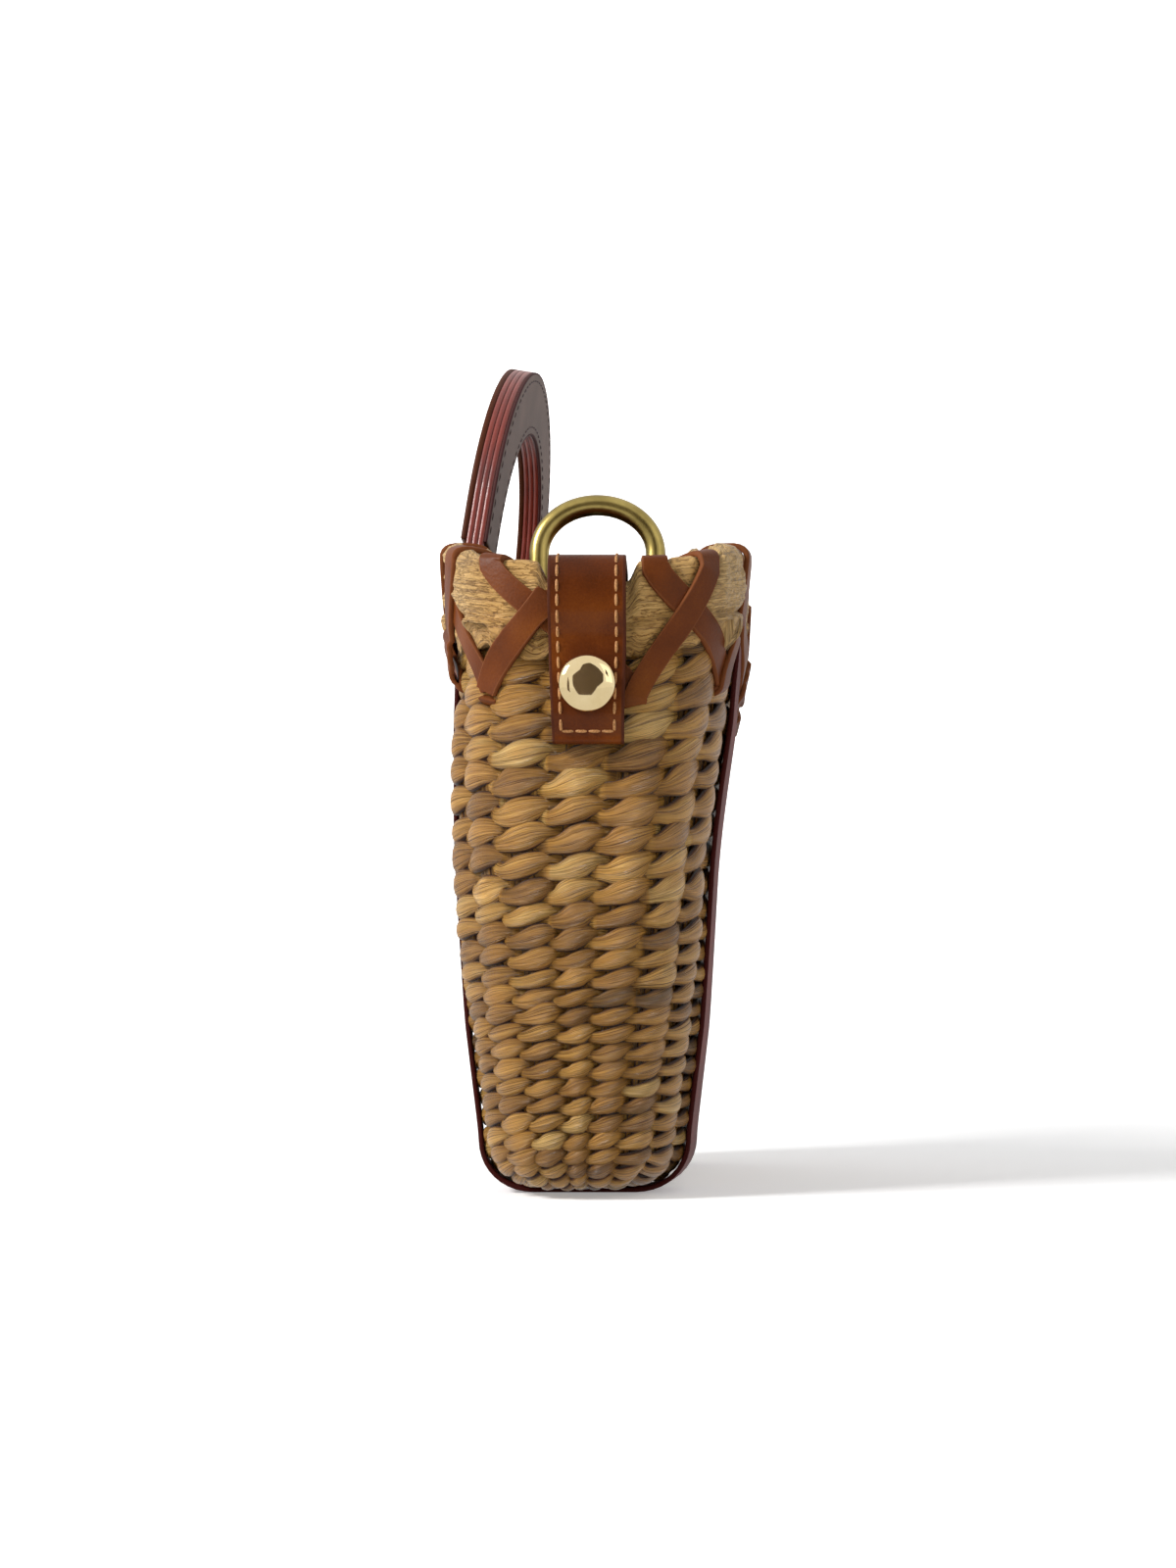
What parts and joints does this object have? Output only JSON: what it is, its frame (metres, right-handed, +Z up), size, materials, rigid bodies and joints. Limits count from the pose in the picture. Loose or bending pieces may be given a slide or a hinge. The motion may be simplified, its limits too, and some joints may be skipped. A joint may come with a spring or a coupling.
{
  "type": "straw handbag",
  "caption": "Oblong twined straw basket bag, open at the top, with a laced leaf rim, leather straps under the base, one arched handle of layered leather and a D ring on each end tab.",
  "frame": {"origin": "on the ground under the middle of the basket", "axes": "+X along the basket toward the near end, +Y across it toward the back wall, +Z up; the upright handle stands on the front wall at -Y"},
  "size_m": [0.2318, 0.097, 0.2626],
  "materials": {
    "straw": "twined dried stem, matt",
    "leaf": "dried leaf, satin",
    "lace_leather": "flat lace with raw edges",
    "tab_leather": "waxed saddle leather",
    "strap_leather": "smooth, dyed edges",
    "handle_face_leather": "waxed saddle leather",
    "handle_edge_leather": "painted and burnished edge",
    "lining_leather": "matt suede",
    "brass": "aged, satin",
    "stud_gold": "polished pale gold"
  },
  "bodies": {
    "basket": {"basket_shell": "straw", "rim_wrap": "leaf", "lace_over": "lace_leather", "lace_under": "lace_leather", "strap_near": "strap_leather", "strap_far": "strap_leather", "anchor_front_near": "lining_leather", "anchor_front_far": "lining_leather", "anchor_back_near": "lining_leather", "anchor_back_far": "lining_leather", "tab_near": "tab_leather", "stud_cap_near": "stud_gold", "stud_back_near": "brass", "tab_far": "tab_leather", "stud_cap_far": "stud_gold", "stud_back_far": "brass"},
    "front_handle": {"front_handle_outer": "handle_face_leather", "front_handle_core_outer": "handle_edge_leather", "front_handle_core_middle": "handle_edge_leather", "front_handle_core_inner": "handle_edge_leather", "front_handle_lining": "lining_leather"},
    "ring_near": {"ring_near": "brass"},
    "ring_far": {"ring_far": "brass"}
  },
  "joints": [
    {"name": "front_handle_bend", "type": "hinge", "parent": "basket", "child": "front_handle", "pos_m": [0, -0.03566, 0.19025], "axis": [1, 0, 0], "range_deg": [-78, 89]},
    {"name": "ring_near_swing", "type": "hinge", "parent": "basket", "child": "ring_near", "pos_m": [0.09108, 0.0016, 0.165], "axis": [0, 1, 0], "range_deg": [-165, 8]},
    {"name": "ring_far_swing", "type": "hinge", "parent": "basket", "child": "ring_far", "pos_m": [-0.09108, -0.0016, 0.165], "axis": [0, -1, 0], "range_deg": [-165, 8]}
  ]
}
